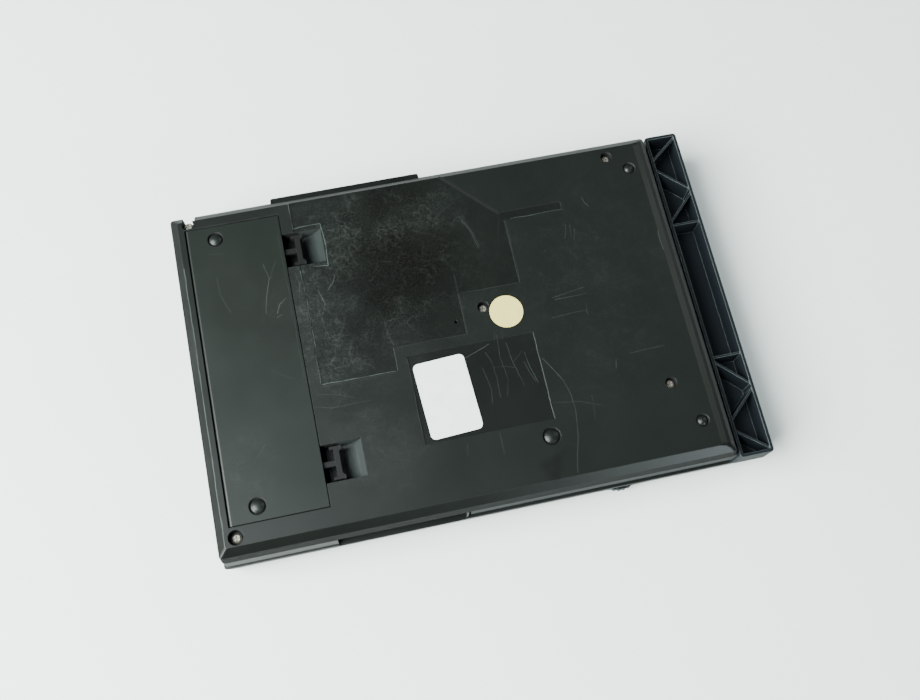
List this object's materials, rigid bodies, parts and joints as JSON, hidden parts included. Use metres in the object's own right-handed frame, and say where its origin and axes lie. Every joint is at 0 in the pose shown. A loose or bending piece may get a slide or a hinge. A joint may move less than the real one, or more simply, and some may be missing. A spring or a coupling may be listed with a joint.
{
  "type": "portable cassette recorder",
  "caption": "Flat mains and battery cassette recorder lying on its face: moulded underside with a long battery door, bare label, sunk screws, domed feet, side sockets and a ribbed sliding handle.",
  "frame": {"origin": "middle of the footprint on the floor, in the plane of the face that the recorder lies on", "axes": "+X from the battery end to the carrying handle, +Y across to the side without sockets, +Z from the face up to the underside"},
  "size_m": [0.2828, 0.186, 0.0427],
  "materials": {
    "case_plastic": "satin greenish black",
    "handle_plastic": "satin blue black",
    "key_plastic": "satin grey",
    "window_plastic": "clear smoked",
    "white_film": "bare white film",
    "cream_paper": "bare cream paper",
    "zinced_steel": "zinc plated",
    "spring_steel": "nickel plated",
    "brass": "turned",
    "black_rubber": "matte",
    "cone_paper": "pressed black paper",
    "board_laminate": "brown laminate",
    "white_nylon": "moulded nylon",
    "copper_wound": "laminated iron with lacquered winding"
  },
  "bodies": {
    "case": {"lower_case": "case_plastic", "upper_case": "case_plastic", "case_screw_1": "zinced_steel", "case_screw_2": "zinced_steel", "case_screw_3": "zinced_steel", "case_screw_4": "zinced_steel", "case_screw_5": "zinced_steel", "rating_label": "white_film", "round_sticker": "cream_paper", "volume_control": "zinced_steel", "circuit_board": "board_laminate", "remote_socket": "handle_plastic", "microphone_socket": "handle_plastic", "earphone_socket": "handle_plastic", "mains_inlet": "handle_plastic", "mains_transformer": "copper_wound", "speaker_basket": "zinced_steel", "speaker_cone": "cone_paper", "microphone_capsule": "zinced_steel", "deck_plate": "zinced_steel", "capstan_bush": "brass", "flywheel_bracket": "zinced_steel", "motor": "zinced_steel", "drive_belt": "black_rubber", "key_shaft": "zinced_steel", "tape_counter": "white_nylon", "battery_spring_contact": "spring_steel", "battery_plus_contact": "spring_steel", "battery_link_plate": "spring_steel"},
    "door": {"battery_door": "case_plastic"},
    "handle": {"carry_handle": "handle_plastic"},
    "volume": {"volume_wheel": "handle_plastic"},
    "record": {"record_key": "key_plastic"},
    "rewind": {"rewind_key": "key_plastic"},
    "fast_forward": {"fast_forward_key": "key_plastic"},
    "play": {"play_key": "key_plastic"},
    "stop_eject": {"stop_eject_key": "key_plastic"},
    "pause": {"pause_key": "key_plastic"},
    "lid": {"cassette_door": "case_plastic", "cassette_window": "window_plastic"},
    "heads": {"head_plate": "zinced_steel", "record_play_head": "zinced_steel", "erase_head": "zinced_steel"},
    "pinch": {"pinch_roller": "black_rubber"},
    "flywheel": {"capstan_flywheel": "zinced_steel"},
    "pulley": {"motor_pulley": "brass"},
    "idler": {"idler_wheel": "black_rubber"},
    "supply": {"supply_spindle": "white_nylon"},
    "takeup": {"takeup_spindle": "white_nylon"},
    "counter": {"counter_drum": "handle_plastic"},
    "reset": {"counter_reset_button": "key_plastic"}
  },
  "joints": [
    {"name": "battery_door_hinge", "type": "hinge", "parent": "case", "child": "door", "pos_m": [-0.13078, 0, 0.0406], "axis": [0, -1, 0], "range_deg": [0, 100]},
    {"name": "handle_slide", "type": "slide", "parent": "case", "child": "handle", "axis": [1, 0, 0], "range_m": [0, 0.045]},
    {"name": "volume_turn", "type": "hinge", "parent": "case", "child": "volume", "pos_m": [0.06542, -0.0796, 0.0076], "axis": [0, 0, 1], "range_deg": [0, 270]},
    {"name": "record_press", "type": "hinge", "parent": "case", "child": "record", "pos_m": [0.10403, 0, 0.011], "axis": [0, -1, 0], "range_deg": [0, 9], "stiffness_Nm_per_rad": 0.3, "springref_deg": -8.59},
    {"name": "rewind_press", "type": "hinge", "parent": "case", "child": "rewind", "pos_m": [0.10403, 0, 0.011], "axis": [0, -1, 0], "range_deg": [0, 9], "stiffness_Nm_per_rad": 0.3, "springref_deg": -8.59},
    {"name": "fast_forward_press", "type": "hinge", "parent": "case", "child": "fast_forward", "pos_m": [0.10403, 0, 0.011], "axis": [0, -1, 0], "range_deg": [0, 9], "stiffness_Nm_per_rad": 0.3, "springref_deg": -8.59},
    {"name": "play_press", "type": "hinge", "parent": "case", "child": "play", "pos_m": [0.10403, 0, 0.011], "axis": [0, -1, 0], "range_deg": [0, 9]},
    {"name": "stop_eject_press", "type": "hinge", "parent": "case", "child": "stop_eject", "pos_m": [0.10403, 0, 0.011], "axis": [0, -1, 0], "range_deg": [0, 9], "stiffness_Nm_per_rad": 0.3, "springref_deg": -8.59},
    {"name": "pause_press", "type": "hinge", "parent": "case", "child": "pause", "pos_m": [0.10403, 0, 0.011], "axis": [0, -1, 0], "range_deg": [0, 9], "stiffness_Nm_per_rad": 0.3, "springref_deg": -8.59},
    {"name": "cassette_door_hinge", "type": "hinge", "parent": "case", "child": "lid", "pos_m": [0.01947, 0, 0.00165], "axis": [0, 1, 0], "range_deg": [0, 50]},
    {"name": "head_slide", "type": "slide", "parent": "case", "child": "heads", "axis": [-1, 0, 0], "range_m": [0, 0.0075], "stiffness_N_per_m": 250, "springref_m": -0.004},
    {"name": "pinch_spin", "type": "hinge", "parent": "heads", "child": "pinch", "pos_m": [0.08853, 0.028, 0.01], "axis": [0, 0, 1], "continuous": true},
    {"name": "flywheel_spin", "type": "hinge", "parent": "case", "child": "flywheel", "pos_m": [0.07303, 0.028, 0.03], "axis": [0, 0, 1], "continuous": true},
    {"name": "pulley_spin", "type": "hinge", "parent": "case", "child": "pulley", "pos_m": [0.05502, 0.0686, 0.032], "axis": [0, 0, 1], "continuous": true},
    {"name": "idler_spin", "type": "hinge", "parent": "case", "child": "idler", "pos_m": [0.06469, 0.02512, 0.021], "axis": [0, 0, 1], "continuous": true},
    {"name": "supply_spin", "type": "hinge", "parent": "case", "child": "supply", "pos_m": [0.05353, -0.02125, 0.015], "axis": [0, 0, 1], "continuous": true},
    {"name": "takeup_spin", "type": "hinge", "parent": "case", "child": "takeup", "pos_m": [0.05353, 0.02125, 0.015], "axis": [0, 0, 1], "continuous": true},
    {"name": "counter_spin", "type": "hinge", "parent": "case", "child": "counter", "pos_m": [0.02102, -0.069, 0.0082], "axis": [0, 1, 0], "continuous": true},
    {"name": "reset_push", "type": "slide", "parent": "case", "child": "reset", "axis": [0, 0, 1], "range_m": [0, 0.0025], "stiffness_N_per_m": 150, "springref_m": -0.002}
  ],
  "couplings": [
    {"joint": "play_press", "follows": "head_slide", "rad_per_m": 20.94},
    {"joint": "pulley_spin", "follows": "flywheel_spin", "ratio": 7.2222},
    {"joint": "idler_spin", "follows": "flywheel_spin", "ratio": -1.4214},
    {"joint": "takeup_spin", "follows": "flywheel_spin", "ratio": 0.625},
    {"joint": "counter_spin", "follows": "flywheel_spin", "ratio": 0.03125}
  ]
}
